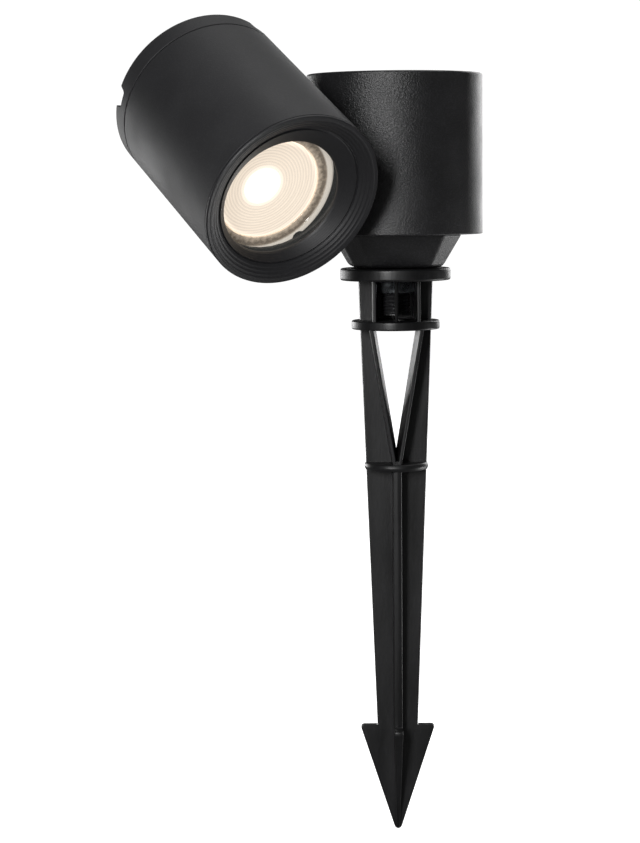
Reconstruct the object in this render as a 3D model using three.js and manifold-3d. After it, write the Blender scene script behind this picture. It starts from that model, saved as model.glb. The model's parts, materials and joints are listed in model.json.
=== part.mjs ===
// Garden spike spotlight: a cylindrical lamp head on a side pivot, a junction housing and a ground spike.
// Millimetres, +Z up. The origin is on the spike's axis at the underside of its flange, the ground line.
import * as THREE from 'three';
import { mergeVertices } from 'three/addons/utils/BufferGeometryUtils.js';
import Module from 'manifold-3d';

const wasm = await Module();
wasm.setup();

// Driving dimensions.
const gap = 0.3;                  // clearance between pieces that touch
const round = 48;                 // sides of a large round
const smallRound = 20;            // sides of a small round
const flangeRadius = 19;
const flangeThick = 4.2;
const socketDepth = 13.8;         // flange underside to the second ring
const collarRadius = 15.2;        // second ring
const collarThick = 3;
const beadRadius = 11.2;          // third ring
const beadZ = -64.3;
const beadThick = 2.6;
const finThick = 3;
const ribThick = 1.5;
const pocketDeep = 16.2;          // nut pocket of the socket, front to back
const socketDeep = 24.4;          // socket ribs, front to back
const windowTop = 6.9;            // half-width of the V window under the second ring
const windowApexZ = -57.9;
const barbZ = -155.9;
const barbRadius = 12.6;
const tipZ = -193.3;
const tipHalf = 1;
const stemRadius = 5;             // threaded stem of the adapter
const stemBore = 3.6;             // cable inlet
const stemLowZ = -12;
const adapterTurn = 4.6;          // degrees between the adapter's flats and the fins
const adapterSide = 42.2;
const adapterCorner = 6.7;
const adapterScale = 0.708;       // bottom size over top size
const housingRadius = 29.7;
const housingLowZ = 15.8;
const housingHeight = 54.4;
const wall = 2.2;
const pivotZ = 47.2;
const pivotAzimuth = 211.5;       // degrees from +X to the pivot axis
const pivotReach = 61;            // housing axis to head axis
const headRadius = 30.5;
const headWall = 2.7;
const headFront = 39.5;           // pivot axis to the head's front face
const capLine = -24.4;            // pivot axis to the seam of the rear cap
const headRear = -32;             // pivot axis to the head's rear face
const headDip = 29.7;             // degrees below the horizontal at rest
const glassRadius = 24.6;
const openingRadius = 20.3;
const openingShift = [0.8, 2];    // the opening is off the head's axis: outwards and low
const lampShift = [1.8, 2.8];     // the lamp's holder is off it too, the same way

const housingTop = housingLowZ + housingHeight;
const rad = THREE.MathUtils.degToRad;

// ---------- geometry helpers ----------

function toSolid(geometry) {
  const bare = geometry.clone();
  bare.deleteAttribute('normal');
  bare.deleteAttribute('uv');
  const merged = mergeVertices(bare, 1e-4);
  const vertProperties = new Float32Array(merged.attributes.position.array);
  const triVerts = new Uint32Array(merged.index.array);
  return new wasm.Manifold(new wasm.Mesh({ numProp: 3, vertProperties, triVerts }));
}

function toGeometry(solid) {
  const mesh = solid.getMesh();
  const geometry = new THREE.BufferGeometry();
  geometry.setAttribute('position', new THREE.BufferAttribute(mesh.vertProperties, 3));
  geometry.setIndex(new THREE.BufferAttribute(mesh.triVerts, 1));
  return geometry;
}

function join(...geometries) {
  return toGeometry(geometries.map(toSolid).reduce((sum, next) => sum.add(next)));
}

function cut(geometry, ...tools) {
  return toGeometry(tools.map(toSolid).reduce((left, tool) => left.subtract(tool), toSolid(geometry)));
}

function common(first, second) {
  return toGeometry(toSolid(first).intersect(toSolid(second)));
}

// A solid of revolution about Z from [radius, z] points, listed with rising z on the outside.
function turned(points, sides = round) {
  const profile = points.map(([radius, z]) => new THREE.Vector2(radius, z));
  return new THREE.LatheGeometry(profile, sides).rotateX(Math.PI / 2);
}

function disc(radius, lowZ, highZ, sides = round) {
  return turned([[0, lowZ], [radius, lowZ], [radius, highZ], [0, highZ]], sides);
}

function tube(outer, inner, lowZ, highZ, sides = round) {
  const points = [[inner, lowZ], [outer, lowZ], [outer, highZ], [inner, highZ], [inner, lowZ]];
  return turned(points, sides);
}

function block(sizeX, sizeY, sizeZ, x = 0, y = 0, z = 0) {
  return new THREE.BoxGeometry(sizeX, sizeY, sizeZ).translate(x, y, z);
}

// A prism of an outline in the XZ plane, centred on y = 0.
function plate(outline, thick) {
  const shape = new THREE.Shape(outline.map(([x, z]) => new THREE.Vector2(x, z)));
  const prism = new THREE.ExtrudeGeometry(shape, { depth: thick, bevelEnabled: false });
  return prism.translate(0, 0, -thick / 2).rotateX(Math.PI / 2);
}

function hexagon(acrossFlats, bore, lowZ, highZ) {
  const radius = acrossFlats / Math.sqrt(3);
  const body = turned([[0, lowZ], [radius, lowZ], [radius, highZ], [0, highZ]], 6);
  return cut(body, disc(bore, lowZ - 1, highZ + 1, smallRound));
}

function ringSeal(middleRadius, sectionRadius, z) {
  const points = [];
  for (let i = 0; i <= 8; i += 1) {
    const angle = -i * Math.PI / 4;
    const radius = middleRadius + sectionRadius * Math.cos(angle);
    points.push([radius, z - sectionRadius * Math.sin(angle)]);
  }
  points[8] = points[0];
  return turned(points, 36);
}

function polar(radius, degrees, z = 0) {
  return [radius * Math.cos(rad(degrees)), radius * Math.sin(rad(degrees)), z];
}

// ---------- materials ----------

const finishes = {
  powderCoat: [0x38383a, 0.62, 0.25],
  powderCoatBlack: [0x2d2d2f, 0.65, 0.25],
  blackPlastic: [0x1c1c1c, 0.5, 0],
  innerPlastic: [0x2a2a2a, 0.6, 0],
  rubber: [0x161616, 0.85, 0],
  zincSteel: [0xb9bcbe, 0.35, 1],
  brass: [0xb08d4a, 0.35, 1],
  ceramic: [0xe9e6dd, 0.45, 0],
  whitePlastic: [0xe6e3dc, 0.4, 0],
  clearGlass: [0xe8f0ee, 0.05, 0],
  lens: [0xfff2dc, 0.2, 0],
  silicone: [0x2b2927, 0.7, 0],
};

function material(finish) {
  const [color, roughness, metalness] = finishes[finish];
  return new THREE.MeshStandardMaterial({ color, roughness, metalness });
}

function piece(parent, name, geometry, finish) {
  const mesh = new THREE.Mesh(geometry, material(finish));
  mesh.name = name;
  parent.add(mesh);
  return mesh;
}

// ---------- ground spike ----------

// Half-width of the cross fins: straight tapers between the socket, the bead and the barbs.
const socketLowZ = -socketDepth - collarThick;
const finSteps = [[12.65, 0.5], [12.05, socketLowZ], [10.35, beadZ + 1], [6.9, barbZ]];

function finOutline() {
  const right = [
    ...finSteps,
    [barbRadius - 0.4, barbZ],
    [barbRadius, barbZ - 0.5],
    [barbRadius, barbZ - 1.4],
    [tipHalf, tipZ + 0.4],
    [tipHalf - 0.4, tipZ],
  ];
  const left = right.map(([x, z]) => [-x, z]).reverse();
  return [...right, ...left];
}

function windowPrism() {
  return plate([[0, windowApexZ], [windowTop, socketLowZ], [-windowTop, socketLowZ]], 40);
}

// A rib along one side of the V window, which carries on below its apex to the bead.
function windowRib(side) {
  const slope = windowTop / (socketLowZ - windowApexZ);
  const high = socketLowZ + 0.5;
  const low = beadZ;
  const inner = (z) => Math.max(0, (z - windowApexZ) * slope);
  const outline = [
    [side * inner(high), high],
    [side * (inner(high) + ribThick), high],
    [side * (inner(windowApexZ) + ribThick), windowApexZ],
    [side * ribThick, low],
    [0, low],
    [0, windowApexZ],
  ];
  return plate(side > 0 ? outline : outline.reverse(), 2 * finSteps[0][0]);
}

function groundSpike() {
  const finX = plate(finOutline(), finThick);
  const finY = plate(finOutline(), finThick).rotateZ(Math.PI / 2);
  const lowFinY = cut(finY, block(40, 40, 80, 0, 0, windowApexZ - 3 + 40));
  const depthEnvelope = plate(finOutline(), 40).rotateZ(Math.PI / 2);
  const ribs = common(join(windowRib(1), windowRib(-1)), depthEnvelope);
  const socketRibs = [];
  for (const side of [-1, 1]) {
    const x = side * (windowTop + 0.9);
    const frontRibDeep = (socketDeep - pocketDeep) / 2 + 0.1;
    const y = side * (socketDeep - frontRibDeep) / 2;
    socketRibs.push(block(ribThick, socketDeep, socketDepth + 1, x, 0, -socketDepth / 2));
    socketRibs.push(block(ribThick, frontRibDeep, socketDepth + 1, 0, y, -socketDepth / 2));
  }
  const backThick = 1.5;
  const backY = (pocketDeep + backThick) / 2;
  const backWall = block(2 * (windowTop + 0.9), backThick, socketDepth + 1, 0, backY, -socketDepth / 2);
  const flange = turned([
    [0, 0], [flangeRadius - 0.8, 0], [flangeRadius, 0.8], [flangeRadius, flangeThick - 0.8],
    [flangeRadius - 0.8, flangeThick], [0, flangeThick],
  ]);
  const collar = disc(collarRadius, socketLowZ, -socketDepth);
  const bead = turned([
    [0, beadZ - beadThick / 2], [beadRadius - 0.4, beadZ - beadThick / 2], [beadRadius, beadZ],
    [beadRadius - 0.4, beadZ + beadThick / 2], [0, beadZ + beadThick / 2],
  ], 32);
  const solid = join(finX, lowFinY, ribs, ...socketRibs, backWall, flange, collar, bead);
  const nutPocket = block(2 * windowTop + 0.2, pocketDeep, socketDepth, 0, 0, -socketDepth / 2);
  const stemHole = disc(stemRadius + gap, -1, flangeThick + 1, smallRound);
  const cableHole = disc(stemRadius + 0.5, socketLowZ - 1, -socketDepth + 1, smallRound);
  return cut(solid, windowPrism(), nutPocket, stemHole, cableHole);
}

function addSpike(parent) {
  const spike = new THREE.Group();
  piece(spike, 'ground_spike', groundSpike(), 'blackPlastic');
  parent.add(spike);
}

// ---------- adapter between spike and housing ----------

const adapterLowZ = flangeThick + gap;
const nippleRadius = 7.5;
const nippleTopZ = 27;

// An inverted pyramid: a prism with cut corners whose sections shrink towards the bottom.
function adapterPyramid() {
  const half = adapterSide / 2;
  const inner = half - adapterCorner;
  const corners = [
    [half, -inner], [half, inner], [inner, half], [-inner, half],
    [-half, inner], [-half, -inner], [-inner, -half], [inner, -half],
  ];
  const shape = new THREE.Shape(corners.map(([x, y]) => new THREE.Vector2(x, y)));
  const height = housingLowZ - adapterLowZ;
  const prism = new THREE.ExtrudeGeometry(shape, { depth: height, bevelEnabled: false });
  const position = prism.attributes.position;
  for (let i = 0; i < position.count; i += 1) {
    const size = adapterScale + (1 - adapterScale) * position.getZ(i) / height;
    position.setXY(i, position.getX(i) * size, position.getY(i) * size);
  }
  return prism.translate(0, 0, adapterLowZ);
}

function stakeAdapter() {
  const stem = disc(stemRadius, stemLowZ, adapterLowZ + 2, smallRound);
  const nipple = disc(nippleRadius, housingLowZ - 2, nippleTopZ, 24);
  const cableBore = disc(stemBore, stemLowZ - 1, nippleTopZ + 1, smallRound);
  const sealSeat = disc(6, nippleTopZ - 5, nippleTopZ + 1, smallRound);
  return cut(join(adapterPyramid(), stem, nipple), cableBore, sealSeat);
}

function addAdapter(parent) {
  const adapter = new THREE.Group();
  adapter.rotation.z = rad(adapterTurn);
  piece(adapter, 'stake_adapter', stakeAdapter(), 'powderCoatBlack');
  parent.add(adapter);
  const stemNut = hexagon(12.6, stemRadius + gap, -4.3, -gap);
  piece(parent, 'stem_nut', stemNut, 'zincSteel');
}

// ---------- junction housing ----------

const plateLowZ = housingLowZ + gap;
const plateThick = 2.5;
const plateTopZ = plateLowZ + plateThick;
const shellInner = housingRadius - wall;
const plateRadius = shellInner - gap;
const ledgeRadius = 25.4;         // step in the shell that the base gasket seals against
const ledgeLowZ = plateTopZ + 1.8;
const baseScrewRadius = 22.6;
const baseScrewAngles = [30, 150, 270];
const saddle = 1.4;               // depth of the flat that the pivot collar sits on
const housingFlat = housingRadius - saddle;
const housingPadFace = 23.8;

// Everything on the pivot is drawn with +Z along the pivot axis, from the housing axis outwards.
function pivotFrame() {
  const frame = new THREE.Group();
  frame.position.set(0, 0, pivotZ);
  frame.rotation.set(0, Math.PI / 2, 0);
  const turn = new THREE.Group();
  turn.rotation.z = rad(pivotAzimuth);
  turn.add(frame);
  return { turn, frame };
}

function alongPivot(geometry) {
  return geometry.rotateY(Math.PI / 2).rotateZ(rad(pivotAzimuth)).translate(0, 0, pivotZ);
}

function baseScrewBoss(angle) {
  const [x, y] = polar(baseScrewRadius + 1.8, angle);
  return disc(3.6, ledgeLowZ, ledgeLowZ + 11, 12).translate(x, y, 0);
}

function baseScrewHole(angle, lowZ, highZ, radius) {
  const [x, y] = polar(baseScrewRadius, angle);
  return disc(radius, lowZ, highZ, 10).translate(x, y, 0);
}

function junctionHousing() {
  const shell = turned([
    [shellInner, housingLowZ], [housingRadius - 0.4, housingLowZ], [housingRadius, housingLowZ + 0.4],
    [housingRadius, housingTop - 0.6], [housingRadius - 0.6, housingTop], [0, housingTop],
    [0, housingTop - 2.6], [shellInner, housingTop - 2.6], [shellInner, ledgeLowZ + 5],
    [ledgeRadius, ledgeLowZ + 2.5], [ledgeRadius, ledgeLowZ], [shellInner, ledgeLowZ],
    [shellInner, housingLowZ],
  ]);
  const pad = alongPivot(disc(10.5, housingPadFace, shellInner + 0.6, 24));
  const bosses = baseScrewAngles.map(baseScrewBoss);
  const pilots = baseScrewAngles.map((angle) => baseScrewHole(angle, plateTopZ, plateTopZ + 9, 1.4));
  const collarSeat = alongPivot(disc(8.8, housingFlat, housingRadius + 2, 24));
  const pivotHole = alongPivot(disc(5 + gap, housingPadFace - 2, housingRadius + 2, smallRound));
  return cut(join(shell, pad, ...bosses), ...pilots, collarSeat, pivotHole);
}

function basePlate() {
  const holes = baseScrewAngles.map((angle) => baseScrewHole(angle, plateLowZ - 1, plateTopZ + 1, 1.9));
  return cut(tube(plateRadius, nippleRadius + gap, plateLowZ, plateTopZ), ...holes);
}

function baseScrew(angle) {
  const [x, y] = polar(baseScrewRadius, angle);
  const shank = disc(1.2, plateTopZ - 0.5, plateTopZ + 8, 10);
  const neck = disc(1.6, plateLowZ + 0.2, plateTopZ, 10);
  return join(neck, shank).translate(x, y, 0);
}

const terminalPitch = 8;
const terminalY = 9.5;
const terminalSize = [26, 13, 15];
const terminalTopZ = 59.5;
const screwFloorZ = terminalTopZ - 4;   // floor of the terminal screws' wells

// Three ways in a row on a post that stands on the base plate.
function terminalBlock() {
  const [long, deep, high] = terminalSize;
  const body = block(long, deep, high, 0, terminalY, terminalTopZ - high / 2);
  const postLowZ = plateTopZ + gap;
  const postHigh = terminalTopZ - 5 - postLowZ;
  const post = block(6, 9, postHigh, 0, terminalY + 8.9, postLowZ + postHigh / 2);
  const tools = [];
  for (const way of [-1, 0, 1]) {
    const x = way * terminalPitch;
    tools.push(disc(2.2, screwFloorZ, terminalTopZ + 1, 12).translate(x, terminalY, 0));
    tools.push(block(3.4, 4.5, 3.4, x, terminalY - 5.6, screwFloorZ - 7));
  }
  return cut(join(body, post), ...tools);
}

function terminalScrew(x) {
  const highZ = screwFloorZ + 2.9;
  const head = disc(1.9, screwFloorZ + 0.4, highZ, 12);
  const slot = block(0.8, 5, 1.4, 0, 0, highZ - 0.2);
  return cut(head, slot).translate(x, terminalY, 0);
}

function addHousing(parent) {
  piece(parent, 'junction_housing', junctionHousing(), 'powderCoatBlack');
  piece(parent, 'base_plate', basePlate(), 'innerPlastic');
  const gasket = tube(plateRadius, ledgeRadius + 0.2, plateTopZ + gap, plateTopZ + 1.5, 36);
  piece(parent, 'base_gasket', gasket, 'rubber');
  baseScrewAngles.forEach((angle, i) => piece(parent, `base_screw_${i + 1}`, baseScrew(angle), 'zincSteel'));
  const adapterNut = hexagon(19, nippleRadius + gap, plateTopZ + gap, plateTopZ + 4);
  piece(parent, 'adapter_nut', adapterNut, 'zincSteel');
  piece(parent, 'inlet_seal', tube(5.7, 3.2, nippleTopZ - 4.7, nippleTopZ + 1.2, smallRound), 'rubber');
  const capLowZ = plateTopZ + 4 + gap;
  const inletCap = turned([
    [nippleRadius + gap, capLowZ], [10, capLowZ], [10, capLowZ + 5], [7, nippleTopZ + 4],
    [3.8, nippleTopZ + 4], [3.8, nippleTopZ + 1.6], [nippleRadius + gap, nippleTopZ + 1.6],
    [nippleRadius + gap, capLowZ],
  ], 12);
  piece(parent, 'inlet_cap', inletCap, 'blackPlastic');
  piece(parent, 'terminal_block', terminalBlock(), 'whitePlastic');
  [-1, 0, 1].forEach((way, i) => {
    piece(parent, `terminal_screw_${i + 1}`, terminalScrew(way * terminalPitch), 'brass');
  });
}

// ---------- pivot ----------

const headFlat = pivotReach - headRadius + saddle;
const headPadFace = 36.2;

function addPivot(parent) {
  const { turn, frame } = pivotFrame();
  const sealLow = headFlat - 1.1;
  piece(frame, 'pivot_tube', tube(5, 3.2, 18.6, 42, smallRound), 'zincSteel');
  piece(frame, 'pivot_collar', tube(8.4, 5 + gap, housingFlat + gap, sealLow - gap, 32), 'powderCoatBlack');
  piece(frame, 'pivot_seal', tube(8.4, 5 + gap, sealLow, headFlat - gap, 32), 'rubber');
  const innerNut = hexagon(14, 5 + gap, housingPadFace - 4.3, housingPadFace - gap);
  piece(frame, 'pivot_nut_housing', innerNut, 'zincSteel');
  const washer = tube(8, 5 + gap, headPadFace + gap, headPadFace + 1.1, 24);
  piece(frame, 'pivot_washer', washer, 'zincSteel');
  const outerNut = hexagon(14, 5 + gap, headPadFace + 1.4, headPadFace + 5.2);
  piece(frame, 'pivot_nut_head', outerNut, 'zincSteel');
  parent.add(turn);
}

// ---------- lamp head ----------

const barrelInner = headRadius - headWall;
const bezelSeam = headFront - 1;
const skirtLow = headFront - 11.7;
const skirtOuter = barrelInner - gap;
const lipBack = headFront - 6.8;
const throatTop = headFront - 2.9;
const lampFront = lipBack - 5.4;
const lampBack = lampFront - 42;
const holderLow = lampBack - 10;
const bracketHigh = holderLow - gap;
const bracketThick = 1.5;
const lugLow = lampFront - 39.5;  // lugs in the barrel that carry the holder's bracket
const lugReach = 24.8;
const holderScrewReach = 9;
const twistRadius = 5;            // half the pin spacing of the lamp base

// The head is drawn with +Z along its own axis towards the light, and +X along the pivot axis.
function headFrame() {
  const out = new THREE.Vector3(...polar(1, pivotAzimuth));
  const level = new THREE.Vector3(...polar(1, pivotAzimuth + 90));
  const up = new THREE.Vector3(0, 0, 1);
  const forward = level.multiplyScalar(Math.cos(rad(headDip))).addScaledVector(up, -Math.sin(rad(headDip)));
  const side = new THREE.Vector3().crossVectors(forward, out);
  const basis = new THREE.Matrix4().makeBasis(out, side, forward);
  const frame = new THREE.Group();
  frame.quaternion.setFromRotationMatrix(basis);
  frame.position.copy(out.multiplyScalar(pivotReach)).add(new THREE.Vector3(0, 0, pivotZ));
  return frame;
}

// A solid drawn along the pivot axis, moved into the head's own frame.
function inHead(geometry) {
  return geometry.rotateY(Math.PI / 2).translate(-pivotReach, 0, 0);
}

function headBarrel() {
  const body = tube(headRadius, barrelInner, capLine, bezelSeam - gap);
  const pad = inHead(disc(10.5, headFlat + 0.6, headPadFace, 24));
  const collarSeat = inHead(disc(8.8, headFlat - 4, headFlat, 24));
  const hole = inHead(disc(5 + gap, headFlat - 2, headPadFace + 2, smallRound));
  const lugs = [-1, 1].map((side) => block(7, 4.8, 6, 0, side * 25.9, lugLow + 3));
  const pilots = [-1, 1].map((side) => screwHole(side * lugReach, 1.4, lugLow - 1, lugLow + 5));
  return cut(join(body, pad, ...lugs), collarSeat, hole, ...pilots);
}

function screwHole(y, radius, lowZ, highZ) {
  return disc(radius, lowZ, highZ, 10).translate(0, y, 0);
}

const gripWidth = 7.6;
const gripDepth = 3.6;

// The rear cap has three notches in its rim for fingers to unscrew it by.
function rearCap() {
  const body = turned([
    [0, headRear], [headRadius - 0.6, headRear], [headRadius, headRear + 0.6], [headRadius, capLine - 0.4],
    [26, capLine - 0.4], [26, capLine + 4], [23.6, capLine + 4], [23.6, headRear + 2.6], [0, headRear + 2.6],
  ]);
  const grips = [0, 120, 240].map((angle) => (
    block(8, gripWidth, gripDepth + 1, headRadius, 0, headRear + (gripDepth - 1) / 2).rotateZ(rad(angle))
  ));
  return cut(body, ...grips);
}

// The cone down to the opening leans over towards the opening's own centre.
function throat() {
  const lipTop = lipBack + 0.8;
  const flare = (24.5 - openingRadius) / (throatTop - lipTop);
  const cone = turned([
    [0, lipBack - 1], [openingRadius, lipBack - 1], [openingRadius, lipTop],
    [24.5, throatTop], [24.5 + 2 * flare, throatTop + 2], [0, throatTop + 2],
  ]);
  const position = cone.attributes.position;
  const [shiftX, shiftY] = openingShift;
  for (let i = 0; i < position.count; i += 1) {
    const lean = THREE.MathUtils.clamp((throatTop - position.getZ(i)) / (throatTop - lipTop), 0, 1);
    position.setXY(i, position.getX(i) + shiftX * lean, position.getY(i) + shiftY * lean);
  }
  return cone;
}

function frontBezel() {
  const blank = turned([
    [0, lipBack], [24.9, lipBack], [24.9, skirtLow], [skirtOuter, skirtLow],
    [skirtOuter, bezelSeam], [headRadius, bezelSeam], [headRadius, headFront - 0.5],
    [headRadius - 0.5, headFront], [27.4, headFront - 1.2], [24.5, throatTop], [0, throatTop],
  ]);
  return cut(blank, throat());
}

// The pin slots are short arcs, so the lamp's headed pins enter and turn.
function lampHolder() {
  const tools = [];
  for (const side of [-1, 1]) {
    for (const angle of [0, 6, 12, 18]) {
      const x = side * twistRadius;
      tools.push(disc(1.9, lampBack - 8, lampBack + 1, 10).translate(x, 0, 0).rotateZ(rad(angle)));
    }
    tools.push(screwHole(side * holderScrewReach, 1.4, holderLow - 1, holderLow + 6));
  }
  return cut(disc(13.6, holderLow, lampBack - gap, 24), ...tools);
}

// A strap under the holder with two legs whose feet are screwed to the barrel's lugs.
function holderBracket() {
  const bracketLow = bracketHigh - bracketThick;
  const footHigh = lugLow - gap;
  const [shiftX, shiftY] = lampShift;
  const parts = [block(11, 45.2, bracketThick, 0, 0, bracketHigh - bracketThick / 2)];
  const tools = [disc(3.6, bracketLow - 1, bracketHigh + 1, 16)];
  for (const side of [-1, 1]) {
    const legHeight = footHigh - bracketLow;
    parts.push(block(11, 1.2, legHeight, 0, side * 22, bracketLow + legHeight / 2));
    parts.push(block(7, 5.6, 1.2, 0, side * 24.3, footHigh - 0.6));
    tools.push(screwHole(side * lugReach, 1.7, footHigh - 3, footHigh + 1));
    const holderHole = screwHole(side * holderScrewReach, 1.7, bracketLow - 1, bracketHigh + 1);
    tools.push(holderHole.translate(shiftX, shiftY, 0));
  }
  return cut(join(...parts), ...tools);
}

// A pan-head screw pointing up, with its seat at seatZ.
function panScrew(y, headSize, seatZ, length) {
  const head = disc(headSize, seatZ - 1.5, seatZ, 12);
  const shank = disc(1.1, seatZ - 0.5, seatZ + length, 10);
  return join(head, shank).translate(0, y, 0);
}

function addHead(parent) {
  const head = headFrame();
  piece(head, 'head_barrel', headBarrel(), 'powderCoat');
  piece(head, 'rear_cap', rearCap(), 'powderCoat');
  piece(head, 'cap_seal', ringSeal(26.9, 0.55, capLine + 2), 'rubber');
  piece(head, 'front_bezel', frontBezel(), 'powderCoatBlack');
  piece(head, 'front_glass', disc(glassRadius, lipBack - gap - 3, lipBack - gap), 'clearGlass');
  const gasketTop = lipBack - 3 - 2 * gap;
  piece(head, 'glass_gasket', tube(24.6, 23.5, gasketTop - 1, gasketTop, 36), 'silicone');
  const lampSeat = new THREE.Group();
  lampSeat.position.set(...lampShift, 0);
  head.add(lampSeat);
  addLamp(lampSeat);
  piece(lampSeat, 'lamp_holder', lampHolder(), 'ceramic');
  piece(head, 'holder_bracket', holderBracket(), 'zincSteel');
  const holderSeat = bracketHigh - bracketThick - gap;
  const footSeat = lugLow - 1.2 - 2 * gap;
  [-1, 1].forEach((side, i) => {
    const holderScrew = panScrew(side * holderScrewReach, 2.6, holderSeat, 6.5);
    const lugScrew = panScrew(side * lugReach, 1.9, footSeat, 5.5);
    piece(lampSeat, `holder_screw_${i + 1}`, holderScrew, 'zincSteel');
    piece(head, `bracket_screw_${i + 1}`, lugScrew, 'zincSteel');
  });
  parent.add(head);
}

// ---------- lamp ----------

const lensRadius = 17.5;
const rimRadius = 23.6;

function lampBody() {
  const outer = [
    [0, lampBack], [13.4, lampBack], [13.8, lampFront - 34], [15.2, lampFront - 26],
    [18, lampFront - 18], [21.8, lampFront - 10], [22.6, lampFront - 4.3], [0, lampFront - 4.3],
  ];
  return turned(outer, 32);
}

function lampPin(side) {
  const stem = disc(1.2, lampBack - 5, lampBack - gap, 10);
  const foot = disc(1.6, lampBack - 7, lampBack - 4.6, 10);
  return join(stem, foot).translate(side * twistRadius, 0, 0);
}

function addLamp(parent) {
  piece(parent, 'lamp_body', lampBody(), 'whitePlastic');
  const rim = turned([
    [lensRadius + gap, lampFront - 4], [rimRadius, lampFront - 4], [rimRadius, lampFront - 0.8],
    [rimRadius - 0.8, lampFront], [lensRadius + gap, lampFront], [lensRadius + gap, lampFront - 4],
  ], 36);
  piece(parent, 'lamp_rim', rim, 'clearGlass');
  const lens = turned([
    [0, lampFront - 4], [lensRadius, lampFront - 4], [lensRadius, lampFront - 0.6], [0, lampFront - 0.3],
  ], 36);
  piece(parent, 'lamp_lens', lens, 'lens');
  [-1, 1].forEach((side, i) => piece(parent, `lamp_pin_${i + 1}`, lampPin(side), 'zincSteel'));
}

// ---------- assembly ----------

const spotlight = new THREE.Group();
addSpike(spotlight);
addAdapter(spotlight);
addHousing(spotlight);
addPivot(spotlight);
addHead(spotlight);

export default spotlight;
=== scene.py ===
import json
import bpy
import numpy as np
from math import pi, radians
from mathutils import Matrix, Vector


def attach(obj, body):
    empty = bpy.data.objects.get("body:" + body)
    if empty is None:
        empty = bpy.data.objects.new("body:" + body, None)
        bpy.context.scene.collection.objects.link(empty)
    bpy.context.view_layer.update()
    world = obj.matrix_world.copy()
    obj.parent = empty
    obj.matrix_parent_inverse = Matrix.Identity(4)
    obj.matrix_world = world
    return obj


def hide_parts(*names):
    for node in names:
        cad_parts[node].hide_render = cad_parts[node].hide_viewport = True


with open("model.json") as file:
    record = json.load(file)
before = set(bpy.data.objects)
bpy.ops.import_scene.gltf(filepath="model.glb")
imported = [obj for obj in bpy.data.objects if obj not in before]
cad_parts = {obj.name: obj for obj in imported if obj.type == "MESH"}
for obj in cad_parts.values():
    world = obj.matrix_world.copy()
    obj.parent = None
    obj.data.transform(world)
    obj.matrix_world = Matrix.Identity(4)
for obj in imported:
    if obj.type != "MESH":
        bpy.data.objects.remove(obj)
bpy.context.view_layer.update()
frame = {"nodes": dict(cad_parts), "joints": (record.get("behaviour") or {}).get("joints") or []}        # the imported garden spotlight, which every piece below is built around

mm = 0.001
print("frame loaded:", len(frame["nodes"]), "CAD nodes")


# ---- places: frames in which the pieces are drawn, in millimetres ----

def place(origin, xAxis, zAxis):
    zAxis = Vector(zAxis).normalized()
    yAxis = zAxis.cross(Vector(xAxis)).normalized()
    xAxis = yAxis.cross(zAxis)
    matrix = Matrix((xAxis, yAxis, zAxis)).transposed().to_4x4()
    matrix.translation = Vector(origin)
    return matrix


joints = {joint["name"]: joint for joint in frame["joints"]}
pivotOut = joints["head_tilt"]["axis"]           # from the housing to the head
headForward = joints["bezel_turn"]["axis"]       # the way the light goes
upright = Matrix.Identity(4)
turned = Matrix.Rotation(radians(4.6), 4, "Z")   # the adapter stands a little turned on the spike
pivotPlace = place(joints["head_tilt"]["pos_m"], (0, 0, 1), pivotOut)
headPlace = place(joints["bezel_turn"]["pos_m"], pivotOut, headForward)
lampPlace = place(joints["lamp_twist"]["pos_m"], pivotOut, headForward)


# Lowest height, highest height and widest radius of a CAD node in a place, in millimetres.
def span(node, at=upright):
    mesh = frame["nodes"][node].data
    points = np.zeros(len(mesh.vertices) * 3)
    mesh.vertices.foreach_get("co", points)
    back = np.array(at.inverted())
    local = (points.reshape(-1, 3) @ back[:3, :3].T + back[:3, 3]) / mm
    return local[:, 2].min(), local[:, 2].max(), np.hypot(local[:, 0], local[:, 1]).max()


# ---- surfaces ----

# Rounds the corners of an outline: each one becomes a quadratic curve from one edge to the next.
def softened(corners, reach, closed=True, steps=4):
    corners = np.array(corners, float)
    reach = np.broadcast_to(np.array(reach, float), len(corners))
    t = np.linspace(0, 1, steps + 1)[:, None]
    parts = []
    for i, corner in enumerate(corners):
        atEnd = not closed and i in (0, len(corners) - 1)
        if atEnd or reach[i] == 0:
            parts.append(corner[None, :])
            continue
        before = corners[i - 1] - corner
        after = corners[(i + 1) % len(corners)] - corner
        lengths = np.linalg.norm(before), np.linalg.norm(after)
        start = corner + before / lengths[0] * min(reach[i], 0.48 * lengths[0])
        end = corner + after / lengths[1] * min(reach[i], 0.48 * lengths[1])
        parts.append((1 - t) ** 2 * start + 2 * t * (1 - t) * corner + t ** 2 * end)
    return np.concatenate(parts)


# Quads of a grid of count1 rows and count2 columns, which may close on itself either way.
def gridFaces(count1, count2, wrap1=True, wrap2=False):
    row = np.arange(count1 if wrap1 else count1 - 1)[:, None]
    column = np.arange(count2 if wrap2 else count2 - 1)[None, :]
    nextRow = (row + 1) % count1
    nextColumn = (column + 1) % count2
    corners = [row * count2 + column, nextRow * count2 + column,
               nextRow * count2 + nextColumn, row * count2 + nextColumn]
    return np.stack(corners, -1).reshape(-1, 4).tolist()


# A profile of (radius, height) carried round the axis. shape(angle, radius, height) may change
# the radius, which is how threads and hexagons are cut.
def spun(profile, sides=144, closed=True, shape=None):
    profile = np.array(profile, float)
    angle = (np.arange(sides) * 2 * pi / sides)[:, None]
    radius = np.repeat(profile[None, :, 0], sides, 0)
    height = np.repeat(profile[None, :, 1], sides, 0)
    if shape:
        radius = shape(angle, radius, height)
    points = np.stack([radius * np.cos(angle), radius * np.sin(angle), height], -1)
    return points.reshape(-1, 3), gridFaces(sides, len(profile), True, closed)


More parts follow.
